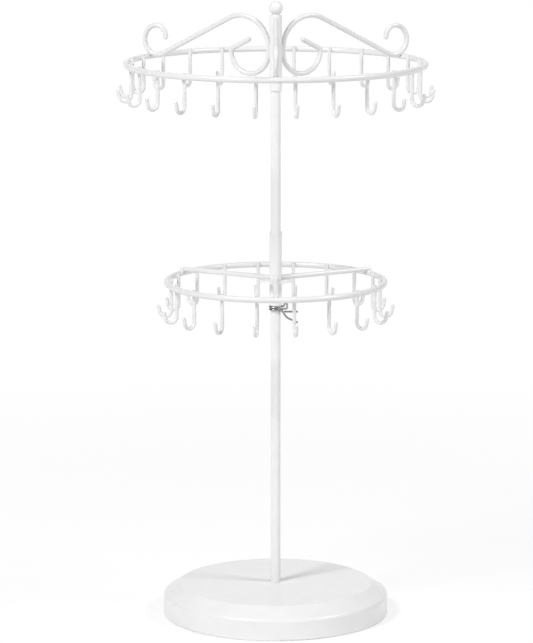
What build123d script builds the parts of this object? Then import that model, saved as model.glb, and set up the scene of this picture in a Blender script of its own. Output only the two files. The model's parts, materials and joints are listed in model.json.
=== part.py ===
from build123d import *
import math
import os

# Necklace stand with two turning tiers of hooks round one pole.
# Millimetres, +Z up. The origin is the middle of the base, on the table.
# The front of the stand faces -Y: one scroll and one spoke point that way.

# Whole stand
total_height = 500.0
weld_sink = 0.3
tube_end_chamfer = 0.3
front_azimuth = -90.0
arms_per_tier = 3

# Base
base_diameter = 182.5
base_wall_height = 17.2
base_top_height = 26.0
base_top_diameter = 155.6
base_wall_edge_radius = 3.2
base_top_edge_radius = 4.0
base_lip_edge_radius = 1.2
shell_thickness = 1.2
shell_table_gap = 0.4
shell_lip_width = 3.0
shell_hole_diameter = 4.4
ballast_diameter = 150.0
ballast_thickness = 6.0
bottom_plate_thickness = 1.2
bottom_plate_clearance = 0.1
pad_clearance = 0.25
key_hole_diameter = 24.0

# Screw that holds the pole on the base, and its washers
screw_diameter = 4.0
screw_length = 20.0
screw_head_diameter = 7.0
screw_head_height = 4.0
screw_hex_width = 3.0
screw_hex_depth = 2.2
clamp_washer_diameter = 20.0
clamp_washer_thickness = 1.5
lock_washer_diameter = 7.0
lock_washer_thickness = 1.0
lock_washer_slit = 0.8

# Pole, in two lengths joined by a stud
pole_diameter = 8.0
pole_wall = 0.8
pole_joint_height = 296.0
insert_length = 12.0
stud_length = 18.0
thread_gap = 0.02
cap_head_thickness = 2.5
cap_stem_length = 8.0
cap_edge_chamfer = 0.4

# Tubes that turn on the pole
tube_diameter = 10.0
tube_length = 60.0
running_clearance = 0.08
sleeve_bottom = 254.9
hub_plug_length = 6.0
pivot_gap = 0.05
finial_height = 11.4
finial_diameter = 11.2
finial_neck_diameter = 6.4

# Wire rings
ring_wire_diameter = 4.8
upper_ring_drop = 38.6
upper_ring_diameter = 243.2
lower_ring_height = 274.2
lower_ring_diameter = 179.9

# Hooks
hook_wire_diameter = 3.0
hook_drop = 29.7
hook_bend_radius = 4.8
hook_tip_lean_angle = 12.0
hook_tip_length = 4.6
upper_place_count = 24
lower_place_count = 18
hooks_per_node = 2
# Place 0 is the first one left of the front. The count goes round by the left.
upper_free_place_number = 11

# S-shaped scrolls of the upper tier, as seen in the upright plane of each
arm_wire_diameter = 4.0
scroll_hump_radius = 25.2
scroll_hub_stretch = 3.8
scroll_lower_curl_radius = 17.2
scroll_middle_rise = 8.2
scroll_tail_bend_radius = 2.8
scroll_tail_bend_angle = 63.0
scroll_tail_length = 16.5
scroll_curl_radius = 12.0
scroll_curl_rise = 13.7
scroll_curl_tightening_angle = 75.0
scroll_curl_end_radius = 8.6
scroll_curl_end_angle = 109.0

# Straight spokes of the lower tier, with the flange that carries them
flange_diameter = 26.0
flange_thickness = 1.2
spoke_weld_sink = 1.2
spoke_end_inset = 0.6
spoke_end_chamfer = 0.5

# Spring clip: one wire, wound twice round the pole from a finger loop
clip_wire_diameter = 1.6
clip_grip_clearance = 0.05
clip_strand_gap = 0.6
clip_tier_gap = 0.1
clip_wrap_angles = [90.0, 90.0, 70.0]
clip_bend_radius = 1.2
clip_tight_bend_radius = 1.0
clip_bow_radius = 6.0
clip_arm_length = 17.2
clip_low_arm_root = 1.6
clip_low_knee_reach = 6.5
clip_low_knee_drop = 1.8
clip_low_knee_back = 3.0
clip_low_arm_drop = 2.0
clip_low_arm_back = 4.0
clip_slant_arm_root = 3.0
clip_slant_knee_reach = 9.0
clip_slant_knee_drop = 7.6
clip_slant_knee_front = 4.4
clip_slant_arm_drop = 11.2
clip_slant_arm_front = 5.4
clip_loop_lead = 1.4
clip_loop_straight = 0.05

# Heights that follow from the sizes above
upper_hub_top_height = total_height - finial_height
upper_ring_height = upper_hub_top_height - upper_ring_drop
shell_underside = base_top_height - shell_thickness
plate_seat = shell_table_gap + shell_thickness
ballast_bottom = shell_underside - ballast_thickness
clamp_washer_bottom = ballast_bottom - clamp_washer_thickness
lock_washer_bottom = clamp_washer_bottom - lock_washer_thickness
screw_head_bottom = lock_washer_bottom - screw_head_height
pole_bore = pole_diameter - 2 * pole_wall
tube_bore = pole_diameter + 2 * running_clearance
hub_plug_bottom = upper_hub_top_height - hub_plug_length
cap_top = hub_plug_bottom - pivot_gap
upper_pole_top = cap_top - cap_head_thickness
upper_hub_bottom = upper_hub_top_height - tube_length
ring_wire_radius = ring_wire_diameter / 2
hook_wire_radius = hook_wire_diameter / 2
arm_wire_radius = arm_wire_diameter / 2
clip_wire_radius = clip_wire_diameter / 2
spoke_height = lower_ring_height + ring_wire_radius + arm_wire_radius - spoke_weld_sink
flange_top = spoke_height - arm_wire_radius + weld_sink
sleeve_top = sleeve_bottom + tube_length
clip_upper_strand = sleeve_bottom - clip_tier_gap - clip_wire_radius
clip_lower_strand = clip_upper_strand - clip_wire_diameter - clip_strand_gap

os.makedirs("parts", exist_ok=True)


def ring_radius(ring_diameter):
    """Radius of the wire's middle line, from the ring's outside diameter."""
    return (ring_diameter - ring_wire_diameter) / 2


def rod(diameter, low, high):
    """Upright round bar on the stand's axis."""
    return Pos(0, 0, low) * extrude(Circle(diameter / 2), amount=high - low)


def tube(diameter, bore, low, high):
    """Upright tube, ring or washer on the stand's axis."""
    return Pos(0, 0, low) * extrude(Circle(diameter / 2) - Circle(bore / 2), amount=high - low)


def deburred_tube(diameter, bore, low, high):
    """Cut length of tube, with the sharp outer edge taken off both ends."""
    bar = rod(diameter, low, high)
    bar = chamfer(bar.edges().filter_by(GeomType.CIRCLE), tube_end_chamfer)
    return bar - rod(bore, low, high)


def wire_solid(path, wire_radius, round_start=True, round_end=True):
    """Round wire along a path, with its free ends rounded."""
    section = Plane(origin=path @ 0, z_dir=path % 0) * Circle(wire_radius)
    solid = sweep(section, path=path)
    if round_start:
        solid += Pos(path @ 0) * Sphere(wire_radius)
    if round_end:
        solid += Pos(path @ 1) * Sphere(wire_radius)
    return solid


def place_azimuths(places):
    """Hook places of a ring, half a step each side of the front, going round by the left."""
    step = 360 / places
    return [front_azimuth - step * (place + 0.5) for place in range(places)]


def arm_azimuths():
    """The three arms of a tier, the first one towards the front."""
    return [front_azimuth + 360 / arms_per_tier * arm for arm in range(arms_per_tier)]


def make_base_shell():
    """Spun cover of even thickness: wall, sloped step and flat top, with a lip turned in below."""
    outer = base_diameter / 2
    top_radius = base_top_diameter / 2
    slope = math.atan2(base_top_height - base_wall_height, outer - top_radius)
    inner = outer - shell_thickness
    slope_drop = shell_thickness / math.cos(slope)
    inner_corner = base_wall_height + shell_thickness * math.tan(slope) - slope_drop
    inner_top_radius = outer - (shell_underside - base_wall_height + slope_drop) / math.tan(slope)
    lip_radius = outer - shell_lip_width
    hole_radius = shell_hole_diameter / 2
    profile = make_face(Polyline(
        (hole_radius, base_top_height),
        (top_radius, base_top_height),
        (outer, base_wall_height),
        (outer, shell_table_gap),
        (lip_radius, shell_table_gap),
        (lip_radius, plate_seat),
        (inner, plate_seat),
        (inner, inner_corner),
        (inner_top_radius, shell_underside),
        (hole_radius, shell_underside),
        close=True))
    for corner, radius in (
        (Vector(outer, shell_table_gap), base_lip_edge_radius),
        (Vector(outer, base_wall_height), base_wall_edge_radius),
        (Vector(top_radius, base_top_height), base_top_edge_radius),
        (Vector(inner, inner_corner), base_wall_edge_radius - shell_thickness),
        (Vector(inner_top_radius, shell_underside), base_top_edge_radius - shell_thickness),
    ):
        nearest = min(profile.vertices(), key=lambda vertex: (Vector(vertex) - corner).length)
        profile = fillet(nearest, radius)
    return revolve(Plane.XZ * profile, Axis.Z)


def make_base_pad():
    """Soft pad under the base: the face that the stand rests on."""
    pad_diameter = base_diameter - 2 * (shell_lip_width + pad_clearance)
    return tube(pad_diameter, key_hole_diameter, 0, plate_seat)


def make_bottom_plate():
    """Steel disc that lies on the shell's turned-in lip."""
    plate_diameter = base_diameter - 2 * (shell_thickness + bottom_plate_clearance)
    return tube(plate_diameter, key_hole_diameter, plate_seat, plate_seat + bottom_plate_thickness)


def make_lock_washer():
    """Split ring under the screw's head."""
    ring = tube(lock_washer_diameter, shell_hole_diameter, lock_washer_bottom, clamp_washer_bottom)
    slit = Box(lock_washer_diameter, lock_washer_slit, lock_washer_thickness,
               align=(Align.MIN, Align.CENTER, Align.MIN))
    return ring - Pos(0, 0, lock_washer_bottom) * slit


def make_pole_screw():
    """Socket head screw, driven from below through the hole in the bottom plate."""
    screw_tip = lock_washer_bottom + screw_length
    head = rod(screw_head_diameter, screw_head_bottom, lock_washer_bottom)
    shank = rod(screw_diameter, lock_washer_bottom, screw_tip)
    hex_radius = screw_hex_width / math.sqrt(3)
    socket = extrude(RegularPolygon(hex_radius, 6), amount=screw_hex_depth)
    return head + shank - Pos(0, 0, screw_head_bottom) * socket


def make_pole_insert(low, high):
    """Threaded plug pressed into an end of a pole."""
    return tube(pole_bore, screw_diameter + 2 * thread_gap, low, high)


def make_pole_cap():
    """Plug in the pole's top end, on which the upper tier turns."""
    head = rod(pole_diameter, upper_pole_top, cap_top)
    head = chamfer(head.edges().sort_by(Axis.Z)[-1], cap_edge_chamfer)
    stem = rod(pole_bore, upper_pole_top - cap_stem_length, upper_pole_top)
    return head + stem


def make_finial():
    """Ball on a short neck, on top of the upper hub."""
    ball_middle = total_height - finial_diameter / 2
    neck = rod(finial_neck_diameter, upper_hub_top_height, ball_middle)
    ball = Pos(0, 0, ball_middle) * Sphere(finial_diameter / 2)
    hub_top = rod(tube_diameter, upper_hub_bottom, upper_hub_top_height)
    return neck + ball - hub_top


def make_ring(ring_diameter, height):
    """Wire bent to a circle and butt welded."""
    return Pos(0, 0, height) * Torus(ring_radius(ring_diameter), ring_wire_radius)


def make_hook(ring_diameter, ring_height, ring):
    """J-shaped wire at azimuth 0, its shank welded to the inside of the ring."""
    shank = ring_radius(ring_diameter) - ring_wire_radius - hook_wire_radius + weld_sink
    bend_x = shank + hook_bend_radius
    bend_z = ring_height - hook_drop + hook_wire_radius + hook_bend_radius
    shank_line = Line((shank, ring_height + ring_wire_radius), (shank, bend_z))
    bend = CenterArc((bend_x, bend_z), hook_bend_radius, 180, 180 - hook_tip_lean_angle)
    lean = math.radians(hook_tip_lean_angle)
    tip_end = bend @ 1 + Vector(math.sin(lean), math.cos(lean)) * hook_tip_length
    tip = Line(bend @ 1, tip_end)
    path = Plane.XZ * Wire([shank_line, bend, tip])
    return wire_solid(path, hook_wire_radius, round_start=False) - ring


def make_hooks(ring_diameter, ring_height, ring, places, left_free):
    """The hooks of a ring in the order of their places, without the place left free."""
    hook = make_hook(ring_diameter, ring_height, ring)
    azimuths = place_azimuths(places)
    return [Rot(0, 0, azimuths[place]) * hook for place in range(places) if place != left_free]


def make_scroll(hub, ring):
    """S-shaped wire at azimuth 0: lower curl, stretch up the hub, hump, straight run, curl on the ring."""
    hub_line = tube_diameter / 2 + arm_wire_radius - weld_sink
    middle_z = upper_ring_height + scroll_middle_rise
    hump_centre = Vector(hub_line + scroll_hump_radius, middle_z + scroll_hub_stretch)
    lower_centre = Vector(hub_line + scroll_lower_curl_radius, middle_z)
    curl_reach = scroll_curl_radius + arm_wire_radius + ring_wire_radius - weld_sink
    curl_inset = math.sqrt(curl_reach ** 2 - scroll_curl_rise ** 2)
    curl_x = ring_radius(upper_ring_diameter) - curl_inset
    curl_centre = Vector(curl_x, upper_ring_height + scroll_curl_rise)

    # The straight run is the line that touches the hump from above and the curl from below.
    between = curl_centre - hump_centre
    crossing = math.asin((scroll_hump_radius + scroll_curl_radius) / between.length)
    fall = math.degrees(crossing - math.atan2(between.Y, between.X))
    lower_curl = CenterArc(lower_centre, scroll_lower_curl_radius, 0, -180)
    hump = CenterArc(hump_centre, scroll_hump_radius, 180, -(90 + fall))
    stretch = Line(lower_curl @ 1, hump @ 0)
    curl = CenterArc(curl_centre, scroll_curl_radius, -90 - fall, 90 + fall + scroll_curl_tightening_angle)
    run = Line(hump @ 1, curl @ 0)
    turn = math.radians(scroll_curl_tightening_angle)
    inward = Vector(math.cos(turn), math.sin(turn)) * (scroll_curl_radius - scroll_curl_end_radius)
    curl_end = CenterArc(curl_centre + inward, scroll_curl_end_radius,
                         scroll_curl_tightening_angle, scroll_curl_end_angle)

    # The lower curl's tail is bent back sharply across the curl.
    tail_centre = lower_curl @ 0 - Vector(scroll_tail_bend_radius, 0)
    tail_bend = CenterArc(tail_centre, scroll_tail_bend_radius,
                          scroll_tail_bend_angle, -scroll_tail_bend_angle)
    tail_angle = math.radians(scroll_tail_bend_angle + 90)
    tail_direction = Vector(math.cos(tail_angle), math.sin(tail_angle))
    tail = Line(tail_bend @ 0 + tail_direction * scroll_tail_length, tail_bend @ 0)
    path = Plane.XZ * Wire([tail, tail_bend, lower_curl, stretch, hump, run, curl, curl_end])
    return wire_solid(path, arm_wire_radius) - hub - ring


def make_spoke(sleeve, flange, ring):
    """Straight wire at azimuth 0, laid on top of the flange and the lower ring."""
    spoke_end = lower_ring_diameter / 2 - spoke_end_inset
    bar = extrude(Circle(arm_wire_radius), amount=spoke_end)
    bar = chamfer(bar.edges().sort_by(Axis.Z)[-1], spoke_end_chamfer)
    bar = Pos(0, 0, spoke_height) * Rot(0, 90, 0) * bar
    inside = rod(tube_diameter, sleeve_bottom, sleeve_top)
    return bar - inside - flange - ring


def clip_strand(height):
    """Arcs of one strand round the pole, from the finger loop to the front."""
    strand_radius = pole_diameter / 2 + clip_grip_clearance + clip_wire_radius
    azimuth = front_azimuth - sum(clip_wrap_angles)
    arcs = []
    for turn in reversed(clip_wrap_angles):
        arcs.append(Pos(0, 0, height) * CenterArc((0, 0), strand_radius, azimuth, turn))
        azimuth += turn
    return arcs


def make_clip_path():
    """One wire: bowed arm, upper strand, finger loop, lower strand, level arm."""
    upper = clip_strand(clip_upper_strand)
    lower = clip_strand(clip_lower_strand)
    up = Vector(0, 0, 1)

    # The finger loop leaves both strands, turns away from the pole and stands up.
    tight = clip_tight_bend_radius
    wide = clip_bend_radius
    loop_foot = 2 * tight + clip_loop_straight
    loop_width = 2 * wide + clip_loop_straight
    loop_raise = tight + wide + clip_loop_straight
    upper_end = upper[0] @ 0
    lower_end = lower[0] @ 0
    heading = (upper[0] % 0) * -1
    away = Vector(upper_end.X, upper_end.Y, 0).normalized()
    upper_lead = upper_end + heading * clip_loop_lead
    lower_lead = lower_end + heading * clip_loop_lead
    foot = upper_lead + away * loop_foot
    near_top = foot + up * loop_raise
    far_top = near_top + away * loop_width
    far_foot = lower_lead + away * (loop_foot + loop_width)
    loop = FilletPolyline(upper_end, upper_lead, foot, near_top, far_top, far_foot,
                          lower_lead, lower_end, radius=[tight, tight, wide, wide, wide, tight])

    # The two arms leave the front of the strands towards the right.
    upper_front = upper[-1] @ 1
    lower_front = lower[-1] @ 1
    slant_root = upper_front + Vector(clip_slant_arm_root, 0, 0)
    slant_knee = upper_front + Vector(clip_slant_knee_reach, -clip_slant_knee_front, -clip_slant_knee_drop)
    slant_end = upper_front + Vector(clip_arm_length, -clip_slant_arm_front, -clip_slant_arm_drop)
    slant_arm = FilletPolyline(slant_end, slant_knee, slant_root, upper_front,
                               radius=[clip_bow_radius, wide])
    low_root = lower_front + Vector(clip_low_arm_root, 0, 0)
    low_knee = lower_front + Vector(clip_low_knee_reach, clip_low_knee_back, -clip_low_knee_drop)
    low_end = lower_front + Vector(clip_arm_length, clip_low_arm_back, -clip_low_arm_drop)
    low_arm = FilletPolyline(lower_front, low_root, low_knee, low_end, radius=wide)
    return Wire([*slant_arm.edges(), *upper, *loop.edges(), *lower, *low_arm.edges()])


def make_spring_clip():
    """Spring wire clip that grips the pole and carries the lower tier."""
    path = make_clip_path()
    print("spring clip: least gap to itself", round(least_gap(path, clip_wire_diameter), 2), "mm")
    return wire_solid(path, clip_wire_radius)


def least_gap(path, wire_diameter):
    """Least clear gap between stretches of a wire that lie apart along its length."""
    steps = int(path.length / (wire_diameter / 3))
    points = [path.position_at(step / steps) for step in range(steps + 1)]
    apart = int(4 * wire_diameter / (path.length / steps))
    gaps = [(points[first] - points[second]).length
            for first in range(len(points))
            for second in range(first + apart, len(points))]
    return min(gaps) - wire_diameter


def group_nodes(name, solids):
    """Hooks that hang side by side share a node."""
    nodes = {}
    for start in range(0, len(solids), hooks_per_node):
        number = start // hooks_per_node + 1
        nodes[f"{name}_{number:02d}"] = Compound(children=solids[start:start + hooks_per_node])
    return nodes


def make_stand():
    """Base and pole, which stay still."""
    return {
        "base_shell": make_base_shell(),
        "base_pad": make_base_pad(),
        "bottom_plate": make_bottom_plate(),
        "ballast_disc": tube(ballast_diameter, shell_hole_diameter, ballast_bottom, shell_underside),
        "clamp_washer": tube(clamp_washer_diameter, shell_hole_diameter,
                             clamp_washer_bottom, ballast_bottom),
        "lock_washer": make_lock_washer(),
        "pole_screw": make_pole_screw(),
        "pole_foot_insert": make_pole_insert(base_top_height, base_top_height + insert_length),
        "lower_pole": deburred_tube(pole_diameter, pole_bore, base_top_height, pole_joint_height),
        "lower_joint_insert": make_pole_insert(pole_joint_height - insert_length, pole_joint_height),
        "joint_stud": rod(screw_diameter, pole_joint_height - stud_length / 2,
                          pole_joint_height + stud_length / 2),
        "upper_joint_insert": make_pole_insert(pole_joint_height, pole_joint_height + insert_length),
        "upper_pole": deburred_tube(pole_diameter, pole_bore, pole_joint_height, upper_pole_top),
        "pole_top_cap": make_pole_cap(),
    }


def make_lower_tier():
    """Sleeve, flange, spokes, ring and hooks that turn on the pole above the clip."""
    sleeve = deburred_tube(tube_diameter, tube_bore, sleeve_bottom, sleeve_top)
    flange = tube(flange_diameter, tube_diameter, flange_top - flange_thickness, flange_top)
    ring = make_ring(lower_ring_diameter, lower_ring_height)
    nodes = {"lower_sleeve": sleeve, "sleeve_flange": flange, "lower_ring": ring}
    spoke = make_spoke(sleeve, flange, ring)
    for side, azimuth in zip(("front", "right", "left"), arm_azimuths()):
        nodes[f"lower_spoke_{side}"] = Rot(0, 0, azimuth) * spoke
    hooks = make_hooks(lower_ring_diameter, lower_ring_height, ring, lower_place_count, None)
    nodes.update(group_nodes("lower_hooks", hooks))
    return nodes


def make_upper_tier():
    """Hub, finial, scrolls, ring and hooks that turn on the pole's top cap."""
    hub = deburred_tube(tube_diameter, tube_bore, upper_hub_bottom, upper_hub_top_height)
    hub_bar = rod(tube_diameter, upper_hub_bottom, upper_hub_top_height)
    ring = make_ring(upper_ring_diameter, upper_ring_height)
    nodes = {
        "upper_hub": hub,
        "hub_plug": rod(tube_bore, hub_plug_bottom, upper_hub_top_height),
        "finial": make_finial(),
        "upper_ring": ring,
    }
    scroll = make_scroll(hub_bar, ring)
    for side, azimuth in zip(("front", "right", "left"), arm_azimuths()):
        nodes[f"scroll_{side}"] = Rot(0, 0, azimuth) * scroll
    hooks = make_hooks(upper_ring_diameter, upper_ring_height, ring,
                       upper_place_count, upper_free_place_number)
    nodes.update(group_nodes("upper_hooks", hooks))
    return nodes


nodes = {}
nodes.update(make_stand())
nodes["spring_clip"] = make_spring_clip()
nodes.update(make_lower_tier())
nodes.update(make_upper_tier())
for name, shape in nodes.items():
    export_step(shape, f"parts/{name}.step")
print(len(nodes), "nodes written")
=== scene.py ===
import json
import math
import bmesh
import bpy
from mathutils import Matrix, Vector


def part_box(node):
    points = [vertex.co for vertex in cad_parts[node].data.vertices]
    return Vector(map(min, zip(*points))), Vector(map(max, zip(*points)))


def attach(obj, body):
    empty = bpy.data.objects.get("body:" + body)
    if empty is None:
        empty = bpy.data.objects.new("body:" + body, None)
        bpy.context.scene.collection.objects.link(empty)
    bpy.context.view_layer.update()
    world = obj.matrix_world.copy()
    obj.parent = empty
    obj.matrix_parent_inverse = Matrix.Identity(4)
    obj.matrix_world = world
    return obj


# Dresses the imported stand: finishes, weld beads, floor, room, lamps and camera.
# Metres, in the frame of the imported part. The front of the stand faces -Y.

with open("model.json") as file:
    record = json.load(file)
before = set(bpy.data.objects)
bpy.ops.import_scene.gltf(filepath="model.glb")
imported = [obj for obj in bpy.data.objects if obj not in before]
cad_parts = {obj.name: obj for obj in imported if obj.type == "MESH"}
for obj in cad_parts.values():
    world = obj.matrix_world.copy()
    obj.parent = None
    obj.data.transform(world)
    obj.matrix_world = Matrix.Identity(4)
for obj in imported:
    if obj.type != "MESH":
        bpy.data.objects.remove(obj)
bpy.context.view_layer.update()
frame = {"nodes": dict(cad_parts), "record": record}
nodes = frame["nodes"]

MM = 0.001
FRONT = math.radians(-90)
TIER_ARMS = 3


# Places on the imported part

def radius_of(node):
    """Outside radius of a round node that stands on the axis."""
    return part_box(node)[1].x


def middle_height(node):
    """Height of the middle of a node."""
    low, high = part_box(node)
    return (low.z + high.z) / 2


def thickness_of(node):
    """Height of a node from its lowest to its highest point."""
    low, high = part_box(node)
    return high.z - low.z


def round_the_pole(radius, azimuth, height):
    """Point at a radius, an azimuth and a height round the pole."""
    return Vector((radius * math.cos(azimuth), radius * math.sin(azimuth), height))


def arm_azimuths():
    """The arms of a tier, the first one towards the front."""
    return [FRONT + math.tau / TIER_ARMS * arm for arm in range(TIER_ARMS)]


def hook_azimuths(places, left_free=None):
    """Hook places of a ring, the first half a step left of the front, going round by the left."""
    step = math.tau / places
    return [FRONT - step * (place + 0.5) for place in range(places) if place != left_free]


def add_object(name, data):
    """Puts mesh, lamp or camera data into the scene as an object."""
    made = bpy.data.objects.new(name, data)
    bpy.context.scene.collection.objects.link(made)
    return made


def add_mesh(name, mesh):
    """Puts a bmesh into the scene as an object."""
    data = bpy.data.meshes.new(name)
    mesh.to_mesh(data)
    mesh.free()
    return add_object(name, data)


# Shader maths

class Value:
    """A node's output socket. Arithmetic on it adds Math nodes."""

    def __init__(self, finish, socket):
        self.finish = finish
        self.socket = socket

    def __add__(self, other):
        return self.finish.maths("ADD", self, other)

    def __radd__(self, other):
        return self.finish.maths("ADD", other, self)

    def __sub__(self, other):
        return self.finish.maths("SUBTRACT", self, other)

    def __rsub__(self, other):
        return self.finish.maths("SUBTRACT", other, self)

    def __mul__(self, other):
        return self.finish.maths("MULTIPLY", self, other)

    def __rmul__(self, other):
        return self.finish.maths("MULTIPLY", other, self)


class Finish:
    """A material or the world, with its nodes."""

    def __init__(self, owner):
        owner.use_nodes = True
        self.owner = owner
        self.tree = owner.node_tree
        self.tree.nodes.clear()

    def node(self, kind, settings=None, sockets=None, output=0):
        """Adds a node: its settings first, then the values or links of its sockets."""
        made = self.tree.nodes.new(kind)
        for name, setting in (settings or {}).items():
            if name == "stops":
                self.set_stops(made.color_ramp, setting)
            else:
                setattr(made, name, setting)
        for name, value in (sockets or {}).items():
            if isinstance(value, Value):
                self.tree.links.new(value.socket, made.inputs[name])
            else:
                made.inputs[name].default_value = value
        return Value(self, made.outputs[output]) if made.outputs else made

    def set_stops(self, ramp, stops):
        """Gives a colour ramp its two (position, grey) stops."""
        for element, (position, level) in zip(ramp.elements, stops):
            element.position = position
            element.color = grey(level)

    def maths(self, operation, first, second):
        """One Math node."""
        return self.node("ShaderNodeMath", {"operation": operation}, {0: first, 1: second})

    def place(self):
        """Where a point of the object is, in metres."""
        return self.node("ShaderNodeTexCoord", output="Object")

    def noise(self, grain, detail=2.0, vector=None):
        """Cloudy pattern from 0 to 1 whose blots are about grain metres across."""
        sockets = {"Scale": 1 / grain, "Detail": detail, "Vector": vector or self.place()}
        return self.node("ShaderNodeTexNoise", {}, sockets, "Fac")

    def ramp(self, value, low, high):
        """0 where a value is under low, 1 where it is over high, and even between them."""
        return self.node("ShaderNodeValToRGB", {"stops": [(low, 0.0), (high, 1.0)]},
                         {"Fac": value})

    def smooth_ramp(self, value, low, high):
        """The same with soft ends."""
        return self.node("ShaderNodeMapRange", {"interpolation_type": "SMOOTHSTEP"},
                         {"Value": value, "From Min": low, "From Max": high})

    def blend(self, share, first, second):
        """Mixes two colours."""
        return self.node("ShaderNodeMix", {"data_type": "RGBA"},
                         {0: share, 6: first, 7: second}, 2)

    def bump(self, height, depth):
        """Normals of a relief whose full height is depth metres."""
        return self.node("ShaderNodeBump", {}, {"Height": height, "Distance": depth})

    def surface(self, **sockets):
        """Ends a material in one Principled shader."""
        named = {name.replace("_", " "): value for name, value in sockets.items()}
        shader = self.node("ShaderNodeBsdfPrincipled", {}, named)
        self.node("ShaderNodeOutputMaterial", {}, {"Surface": shader})
        return self.owner


def colour_of(red, green, blue):
    return (red, green, blue, 1.0)


def grey(level):
    return colour_of(level, level, level)


def new_finish(name):
    return Finish(bpy.data.materials.new(name))


# Finishes
# A GRAIN is how large the blots of a pattern are, a RELIEF is the full height of a bump.
# FADE holds the two values of a pattern between which one look turns into the other.

COAT_SHADE = 0.86
# Wires and weld beads carry the same powder coat as the rest, painted a little darker: painted
# shade for the duller tone the light gives the thin wires.
WIRE_COAT_SHADE_PAINTED_DARKER = 0.81
COAT_CLOUDING = 0.015
COAT_CLOUD_GRAIN = 18 * MM
COAT_CLOUD_FADE = (0.3, 0.7)
COAT_RELIEF = 0.02 * MM
COAT_PEEL_GRAIN = 1.5 * MM
WELD_RELIEF = 0.05 * MM
WELD_PEEL_GRAIN = 0.6 * MM
COAT_PEEL_SHARE = 0.6
COAT_FLOW_SHARE = 0.4
COAT_FLOW_PER_PEEL = 4
COAT_GLOSS_GRAIN = 7 * MM
COAT_LEAST_ROUGHNESS = 0.2
COAT_ROUGHNESS_RANGE = 0.08
COAT_IOR = 1.5


def make_powder_coat(name, shade, relief, peel_grain):
    """Glossy white powder coat: orange peel, soft flow marks and very faint clouding."""
    coat = new_finish(name)
    clouds = coat.ramp(coat.noise(COAT_CLOUD_GRAIN, detail=3.0), *COAT_CLOUD_FADE)
    peel = coat.noise(peel_grain, detail=1.0)
    flow = coat.noise(COAT_FLOW_PER_PEEL * peel_grain, detail=1.0)
    colour = coat.blend(clouds, grey(shade - COAT_CLOUDING), grey(shade + COAT_CLOUDING))
    skin = coat.bump(COAT_PEEL_SHARE * peel + COAT_FLOW_SHARE * flow, relief)
    roughness = COAT_LEAST_ROUGHNESS + COAT_ROUGHNESS_RANGE * coat.noise(COAT_GLOSS_GRAIN)
    return coat.surface(Base_Color=colour, Roughness=roughness, IOR=COAT_IOR, Normal=skin)


# Both wire colours are painted darker than bright nickel: painted shade standing in for the dark
# surroundings the wire mirrors.
SPRING_NICKEL_PAINTED_DARKER = colour_of(0.46, 0.46, 0.47)
SPRING_DULL_PATCH_PAINTED_DARKER = colour_of(0.27, 0.265, 0.26)
SPRING_DULL_GRAIN = 2.5 * MM
SPRING_DULL_FADE = (0.4, 0.65)
SPRING_MARK_GRAIN = 0.25 * MM
SPRING_MARK_SQUEEZE = (1.0, 1.0, 6.0)
SPRING_RELIEF = 0.02 * MM
SPRING_LEAST_ROUGHNESS = 0.16
SPRING_DULL_ROUGHNESS = 0.16
SPRING_MARK_ROUGHNESS = 0.06


def make_spring_wire():
    """Nickel-plated wire: fine draw marks and faint dull patches, both colours painted darker
    than bright nickel as painted shade for the dark surroundings it mirrors.
    """
    wire = new_finish("spring_wire_painted_darker")
    squeezed = wire.node("ShaderNodeVectorMath", {"operation": "MULTIPLY"},
                         {0: wire.place(), 1: SPRING_MARK_SQUEEZE})
    marks = wire.noise(SPRING_MARK_GRAIN, vector=squeezed)
    dull = wire.ramp(wire.noise(SPRING_DULL_GRAIN, detail=3.0), *SPRING_DULL_FADE)
    colour = wire.blend(dull, SPRING_NICKEL_PAINTED_DARKER, SPRING_DULL_PATCH_PAINTED_DARKER)
    roughness = (SPRING_LEAST_ROUGHNESS + SPRING_DULL_ROUGHNESS * dull
                 + SPRING_MARK_ROUGHNESS * marks)
    return wire.surface(Base_Color=colour, Metallic=1.0, Roughness=roughness,
                        Normal=wire.bump(marks, SPRING_RELIEF))


ZINC_BLUISH = colour_of(0.60, 0.63, 0.67)
ZINC_YELLOWISH = colour_of(0.66, 0.63, 0.56)
ZINC_CLOUD_GRAIN = 9 * MM
ZINC_CLOUD_FADE = (0.35, 0.65)
ZINC_GRAIN = 0.4 * MM
ZINC_RELIEF = 0.01 * MM
ZINC_LEAST_ROUGHNESS = 0.28
ZINC_ROUGHNESS_RANGE = 0.18


def make_plated_steel():
    """Zinc-plated steel: bluish with faint yellow clouds and a fine matt grain."""
    steel = new_finish("zinc_plated_steel")
    clouds = steel.ramp(steel.noise(ZINC_CLOUD_GRAIN, detail=4.0), *ZINC_CLOUD_FADE)
    colour = steel.blend(clouds, ZINC_BLUISH, ZINC_YELLOWISH)
    grain = steel.noise(ZINC_GRAIN)
    roughness = ZINC_LEAST_ROUGHNESS + ZINC_ROUGHNESS_RANGE * grain
    return steel.surface(Base_Color=colour, Metallic=1.0, Roughness=roughness,
                         Normal=steel.bump(grain, ZINC_RELIEF))


IRON_DARK = colour_of(0.05, 0.05, 0.052)
IRON_PALE = colour_of(0.16, 0.15, 0.14)
IRON_METALLIC = 0.6
IRON_GRAIN = 1.2 * MM
IRON_RELIEF = 0.15 * MM
IRON_LEAST_ROUGHNESS = 0.55
IRON_ROUGHNESS_RANGE = 0.25


def make_iron():
    """Black cast iron with a sandy skin."""
    iron = new_finish("cast_iron")
    sand = iron.noise(IRON_GRAIN, detail=4.0)
    colour = iron.blend(sand, IRON_DARK, IRON_PALE)
    roughness = IRON_LEAST_ROUGHNESS + IRON_ROUGHNESS_RANGE * sand
    return iron.surface(Base_Color=colour, Metallic=IRON_METALLIC, Roughness=roughness,
                        Normal=iron.bump(sand, IRON_RELIEF))


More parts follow.
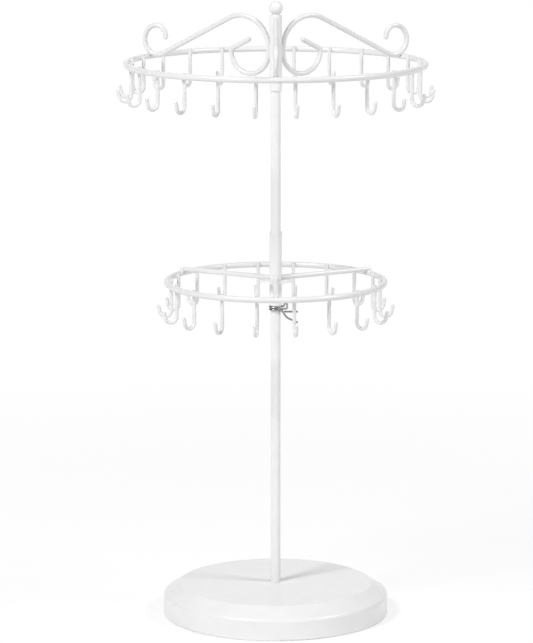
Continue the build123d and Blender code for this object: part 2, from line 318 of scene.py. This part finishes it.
FOAM_BLACK = colour_of(0.018, 0.018, 0.019)
FOAM_DUSTY = colour_of(0.07, 0.07, 0.072)
FOAM_PORE_SPACING = 0.9 * MM
FOAM_PORE_FADE = (0.15, 0.5)
FOAM_DUST_GRAIN = 12 * MM
FOAM_RELIEF = 0.2 * MM
FOAM_LEAST_ROUGHNESS = 0.75
FOAM_ROUGHNESS_RANGE = 0.2


def make_foam_pad():
    """Black closed-cell foam: small round pores and pale dust on the walls between them."""
    foam = new_finish("foam_pad")
    cells = foam.node("ShaderNodeTexVoronoi", {"feature": "F1"},
                      {"Vector": foam.place(), "Scale": 1 / FOAM_PORE_SPACING}, "Distance")
    walls = foam.ramp(cells, *FOAM_PORE_FADE)
    dust = foam.noise(FOAM_DUST_GRAIN, detail=4.0)
    colour = foam.blend(walls * dust, FOAM_BLACK, FOAM_DUSTY)
    roughness = FOAM_LEAST_ROUGHNESS + FOAM_ROUGHNESS_RANGE * dust
    return foam.surface(Base_Color=colour, Roughness=roughness,
                        Normal=foam.bump(walls, FOAM_RELIEF))


NYLON_DARK = colour_of(0.74, 0.73, 0.69)
NYLON_PALE = colour_of(0.82, 0.81, 0.78)
NYLON_GRAIN = 0.5 * MM
NYLON_RELIEF = 0.02 * MM
NYLON_LEAST_ROUGHNESS = 0.4
NYLON_ROUGHNESS_RANGE = 0.1


def make_cap_plastic():
    """Natural nylon: milky, with fine moulded grain."""
    nylon = new_finish("nylon_cap")
    grain = nylon.noise(NYLON_GRAIN)
    colour = nylon.blend(grain, NYLON_DARK, NYLON_PALE)
    roughness = NYLON_LEAST_ROUGHNESS + NYLON_ROUGHNESS_RANGE * grain
    return nylon.surface(Base_Color=colour, Roughness=roughness,
                         Normal=nylon.bump(grain, NYLON_RELIEF))


finishes = {
    "powder_coat": make_powder_coat("white_powder_coat", COAT_SHADE,
                                    COAT_RELIEF, COAT_PEEL_GRAIN),
    "spring_wire": make_spring_wire(),
    "plated_steel": make_plated_steel(),
    "iron": make_iron(),
    "foam_pad": make_foam_pad(),
    "cap_plastic": make_cap_plastic(),
}
# The coat for wires and welds is the plain coat painted darker, as painted shade.
wire_coat_painted_darker = make_powder_coat("powder_coat_on_wires_painted_darker", WIRE_COAT_SHADE_PAINTED_DARKER,
                             COAT_RELIEF, COAT_PEEL_GRAIN)
weld_coat_painted_darker = make_powder_coat("powder_coat_on_welds_painted_darker", WIRE_COAT_SHADE_PAINTED_DARKER,
                             WELD_RELIEF, WELD_PEEL_GRAIN)

COATED_WIRES = ("_ring", "_hooks_", "scroll_", "_spoke_")

# Rings, hooks, scrolls and spokes get the darker coat (painted shade), the rest the plain coat.
for subpart in frame["record"]["subparts"]:
    node = subpart["node"]
    is_coated_wire = any(part in node for part in COATED_WIRES)
    nodes[node].data.materials.clear()
    nodes[node].data.materials.append(
        wire_coat_painted_darker if is_coated_wire else finishes[subpart["material_slot"]])


# Weld beads

BEAD_SIDES = 10
BEAD_STEPS = 12
BEAD_STEPS_PER_RIPPLE = 8
BEAD_ACROSS = Vector((0.3, 0.5, 0.8))
RIPPLE_SHARE = 0.12
TAPER_POWER = 4
LEAST_TAPER = 0.05


def add_bead(mesh, points, radius, ripples, closed=False):
    """Adds a bead: a tube through points that swells with each ripple and tapers at open ends."""
    count = len(points)
    rings = []
    for index, point in enumerate(points):
        before = points[(index - 1) % count] if closed else points[max(index - 1, 0)]
        after = points[(index + 1) % count] if closed else points[min(index + 1, count - 1)]
        along = (after - before).normalized()
        side = along.cross(BEAD_ACROSS).normalized()
        up = along.cross(side)
        share = index / count if closed else index / (count - 1)
        swell = 1 + RIPPLE_SHARE * math.sin(math.tau * ripples * share)
        fall = max(1 - (2 * share - 1) ** TAPER_POWER, LEAST_TAPER)
        size = radius * swell * (1.0 if closed else math.sqrt(fall))
        turns = [math.tau * corner / BEAD_SIDES for corner in range(BEAD_SIDES)]
        rings.append([mesh.verts.new(point + size * (side * math.cos(turn) + up * math.sin(turn)))
                      for turn in turns])
    steps = count if closed else count - 1
    for step in range(steps):
        first, second = rings[step], rings[(step + 1) % count]
        for corner in range(BEAD_SIDES):
            following = (corner + 1) % BEAD_SIDES
            mesh.faces.new((first[corner], first[following], second[following], second[corner]))
    if not closed:
        mesh.faces.new(reversed(rings[0]))
        mesh.faces.new(rings[-1])


def make_welds(name, body, beads):
    """One piece of weld beads that rides on a body.

    A bead is (points, radius, ripples, closed).
    """
    mesh = bmesh.new()
    for points, radius, ripples, closed in beads:
        add_bead(mesh, points, radius, ripples, closed)
    bmesh.ops.recalc_face_normals(mesh, faces=mesh.faces)
    piece = add_mesh(name, mesh)
    piece.data.shade_smooth()
    piece.data.materials.append(weld_coat_painted_darker)
    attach(piece, body)


def steps_from(low, high):
    """Even steps from low to high, both ends included."""
    return [low + (high - low) * step / BEAD_STEPS for step in range(BEAD_STEPS + 1)]


HOOK_BEAD = 0.5 * MM
HOOK_BEAD_REACH = 1.5 * MM
HOOK_BEAD_ASIDE = 1.56 * MM
HOOK_BEAD_RIPPLES = 3


def hook_weld_beads(ring, azimuths):
    """A short upright bead on each side of every hook, on the inside of the ring."""
    wire = thickness_of(ring) / 2
    line = radius_of(ring) - wire
    height = middle_height(ring)
    beads = []
    for azimuth in azimuths:
        for side in (-1, 1):
            points = []
            for rise in steps_from(-HOOK_BEAD_REACH, HOOK_BEAD_REACH):
                inner = line - math.sqrt(wire ** 2 - rise ** 2)
                turn = side * HOOK_BEAD_ASIDE / inner
                points.append(round_the_pole(inner, azimuth + turn, height + rise))
            beads.append((points, HOOK_BEAD, HOOK_BEAD_RIPPLES, False))
    return beads


SPOKE_WIRE_RADIUS = 2.0 * MM
SPOKE_BEAD = 0.6 * MM
SPOKE_BEAD_RIPPLES = 4
SPOKE_RING_BEAD_REACH = 1.2 * MM
SPOKE_FLANGE_BEAD_START = 0.5 * MM
SPOKE_FLANGE_BEAD_INSET = 1.0 * MM


def spoke_weld_beads():
    """Beads along both sides of the spokes, over the lower ring and on the flange."""
    ring_wire = thickness_of("lower_ring") / 2
    ring_line = radius_of("lower_ring") - ring_wire
    ring_middle = middle_height("lower_ring")
    flange_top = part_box("sleeve_flange")[1].z
    spoke_middle = middle_height("lower_spoke_right")
    on_ring = []
    for offset in steps_from(-SPOKE_RING_BEAD_REACH, SPOKE_RING_BEAD_REACH):
        rise = math.sqrt(ring_wire ** 2 - offset ** 2)
        on_ring.append((ring_line + offset, ring_middle + rise))
    first = radius_of("lower_sleeve") + SPOKE_FLANGE_BEAD_START
    last = radius_of("sleeve_flange") - SPOKE_FLANGE_BEAD_INSET
    on_flange = [(reach, flange_top) for reach in steps_from(first, last)]
    beads = []
    for azimuth in arm_azimuths():
        sideways = Vector((-math.sin(azimuth), math.cos(azimuth), 0))
        for seam in (on_ring, on_flange):
            for side in (-1, 1):
                points = []
                for reach, height in seam:
                    drop = min(spoke_middle - height, SPOKE_WIRE_RADIUS)
                    aside = side * math.sqrt(SPOKE_WIRE_RADIUS ** 2 - drop ** 2)
                    points.append(round_the_pole(reach, azimuth, height) + aside * sideways)
                beads.append((points, SPOKE_BEAD, SPOKE_BEAD_RIPPLES, False))
    return beads


SCROLL_BEAD = 0.75 * MM
SCROLL_BEAD_RIPPLES = 5
SCROLL_BEAD_ASIDE = math.radians(19)
SCROLL_CONTACT_RISE = 8.2 * MM
SCROLL_CONTACT_STRETCH = 3.8 * MM
SCROLL_BEAD_OVERRUN = 4.0 * MM


def scroll_hub_beads():
    """Upright beads on both sides of each scroll, where it lies against the hub."""
    hub = radius_of("upper_hub")
    contact = middle_height("upper_ring") + SCROLL_CONTACT_RISE
    low = contact - SCROLL_BEAD_OVERRUN
    high = contact + SCROLL_CONTACT_STRETCH + SCROLL_BEAD_OVERRUN
    beads = []
    for azimuth in arm_azimuths():
        for side in (-1, 1):
            points = [round_the_pole(hub, azimuth + side * SCROLL_BEAD_ASIDE, height)
                      for height in steps_from(low, high)]
            beads.append((points, SCROLL_BEAD, SCROLL_BEAD_RIPPLES, False))
    return beads


def circle_bead(radius, height, bead_radius, ripples):
    """A closed bead round the pole."""
    steps = BEAD_STEPS_PER_RIPPLE * ripples
    points = [round_the_pole(radius, math.tau * step / steps, height) for step in range(steps)]
    return (points, bead_radius, ripples, True)


UPPER_HOOK_PLACES = 24
UPPER_PLACE_LEFT_FREE = 11
LOWER_HOOK_PLACES = 18
NECK_RADIUS = 3.2 * MM
NECK_BEAD = 0.5 * MM
NECK_BEAD_RIPPLES = 9
FLANGE_BEAD = 0.7 * MM
FLANGE_BEAD_RIPPLES = 14

make_welds("upper_hook_welds", "upper_tier",
           hook_weld_beads("upper_ring", hook_azimuths(UPPER_HOOK_PLACES, UPPER_PLACE_LEFT_FREE)))
make_welds("lower_hook_welds", "lower_tier",
           hook_weld_beads("lower_ring", hook_azimuths(LOWER_HOOK_PLACES)))
make_welds("spoke_welds", "lower_tier", spoke_weld_beads())
make_welds("scroll_hub_welds", "upper_tier", scroll_hub_beads())
make_welds("finial_weld", "upper_tier",
           [circle_bead(NECK_RADIUS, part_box("upper_hub")[1].z, NECK_BEAD, NECK_BEAD_RIPPLES)])
make_welds("flange_welds", "lower_tier",
           [circle_bead(radius_of("lower_sleeve"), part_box("sleeve_flange")[0].z,
                        FLANGE_BEAD, FLANGE_BEAD_RIPPLES)])


# Floor, room, lamps and camera

WHITE = grey(1.0)


def seen_directly(finish):
    """1 for rays from the camera, mirror-like rays and rays through glass, else 0."""
    camera, mirror, glass = [finish.node("ShaderNodeLightPath", output=name) for name in
                             ("Is Camera Ray", "Is Glossy Ray", "Is Transmission Ray")]
    return finish.maths("MINIMUM", camera + mirror + glass, 1.0)


FLOOR_PAPER = 0.9
FLOOR_CLOUDING = 0.01
FLOOR_GRAIN = 3 * MM
FLOOR_WHITENING = 0.65
FLOOR_GLOW = 1.085
FLOOR_PLAIN_GLOW = 1.0
FLOOR_SHADOW_REACH = 0.35
FLOOR_PLAIN_FROM = 1.1
FLOOR_RADIUS = 25.0
FLOOR_CORNERS = 96


def make_floor():
    """White floor that keeps the stand's shadow and runs out to plain white."""
    finish = new_finish("white_floor")
    distance = finish.node("ShaderNodeVectorMath", {"operation": "LENGTH"},
                           {0: finish.place()}, "Value")
    away = finish.smooth_ramp(distance, FLOOR_SHADOW_REACH, FLOOR_PLAIN_FROM)
    tone = finish.blend(finish.noise(FLOOR_GRAIN), grey(FLOOR_PAPER - FLOOR_CLOUDING),
                        grey(FLOOR_PAPER + FLOOR_CLOUDING))
    paper = finish.node("ShaderNodeBsdfDiffuse", {}, {"Color": tone})
    glow = finish.node("ShaderNodeEmission", {}, {"Color": WHITE, "Strength": FLOOR_GLOW})
    near = finish.node("ShaderNodeMixShader", {}, {0: FLOOR_WHITENING, 1: paper, 2: glow})
    plain = finish.node("ShaderNodeEmission", {},
                        {"Color": WHITE, "Strength": FLOOR_PLAIN_GLOW})
    shown = finish.node("ShaderNodeMixShader", {}, {0: away, 1: near, 2: plain})
    either = finish.node("ShaderNodeMixShader", {},
                         {0: seen_directly(finish), 1: paper, 2: shown})
    finish.node("ShaderNodeOutputMaterial", {}, {"Surface": either})

    mesh = bmesh.new()
    bmesh.ops.create_circle(mesh, cap_ends=True, segments=FLOOR_CORNERS, radius=FLOOR_RADIUS)
    floor = add_mesh("floor", mesh)
    floor.data.materials.append(finish.owner)


ROOM_TONE = 0.05
ROOM_BACK_GAIN = 0.88
ROOM_FRONT_GAIN = 0.6
HORIZON_TOP = math.sin(math.radians(5))
HORIZON_BOTTOM = math.sin(math.radians(2))


def make_room():
    """Light of a pale room, brighter at the back and front than at the sides.

    The camera sees it as plain white, and mirror-like rays do near the floor and below it.
    """
    world = bpy.data.worlds.new("pale_room")
    bpy.context.scene.world = world
    finish = Finish(world)
    direction = finish.node("ShaderNodeTexCoord", output="Generated")
    depth = finish.node("ShaderNodeSeparateXYZ", {}, {"Vector": direction}, "Y")
    height = Value(finish, depth.socket.node.outputs["Z"])
    behind = finish.maths("MAXIMUM", depth, 0.0)
    ahead = finish.maths("MAXIMUM", -1 * depth, 0.0)
    room = ROOM_TONE + ROOM_BACK_GAIN * (behind * behind) + ROOM_FRONT_GAIN * ahead
    above = finish.smooth_ramp(height, HORIZON_BOTTOM, HORIZON_TOP)
    camera = finish.node("ShaderNodeLightPath", output="Is Camera Ray")
    white = finish.maths("MAXIMUM", camera, seen_directly(finish) * (1 - above))
    strength = room * (1 - white) + white
    light = finish.node("ShaderNodeBackground", {}, {"Color": WHITE, "Strength": strength})
    finish.node("ShaderNodeOutputWorld", {}, {"Surface": light})


LAMP_DISTANCE = 4.0
LAMP_SIZE = 1.0
LAMP_TARGET = Vector((0.0, 0.0, 0.25))


def make_soft_lamp(name, azimuth, elevation, power):
    """Square soft lamp that points at the stand. Azimuth 0 is the front, 90 the right."""
    turn = math.radians(azimuth)
    rise = math.radians(elevation)
    towards = Vector((math.sin(turn) * math.cos(rise), -math.cos(turn) * math.cos(rise),
                      math.sin(rise)))
    lamp = bpy.data.lights.new(name, "AREA")
    lamp.shape = "SQUARE"
    lamp.size = LAMP_SIZE
    lamp.energy = power
    holder = add_object(name, lamp)
    holder.location = LAMP_TARGET + towards * LAMP_DISTANCE
    holder.rotation_euler = (-towards).to_track_quat("-Z", "Y").to_euler()


CAMERA_PLACE = Vector((0.0, -2.829493, 0.74985))
CAMERA_TILT_DOWN = 10.182
CAMERA_TURN_LEFT = 0.15
CAMERA_SENSOR = 36.0
CAMERA_REACH_IN_PIXELS = 3565.747
PICTURE_HEIGHT_IN_PIXELS = 643


def make_camera():
    """The photograph's view: a long lens, higher than the stand and tilted down."""
    data = bpy.data.cameras.new("camera")
    data.sensor_width = CAMERA_SENSOR
    data.lens = CAMERA_REACH_IN_PIXELS * CAMERA_SENSOR / PICTURE_HEIGHT_IN_PIXELS
    camera = add_object("camera", data)
    camera.location = CAMERA_PLACE
    camera.rotation_euler = (math.radians(90 - CAMERA_TILT_DOWN), 0.0,
                             math.radians(CAMERA_TURN_LEFT))
    bpy.context.scene.camera = camera


make_floor()
make_room()
make_soft_lamp("key_lamp", azimuth=-45, elevation=45, power=100)
make_soft_lamp("side_lamp", azimuth=72, elevation=45, power=58)
make_camera()
bpy.context.scene.view_settings.view_transform = "Standard"
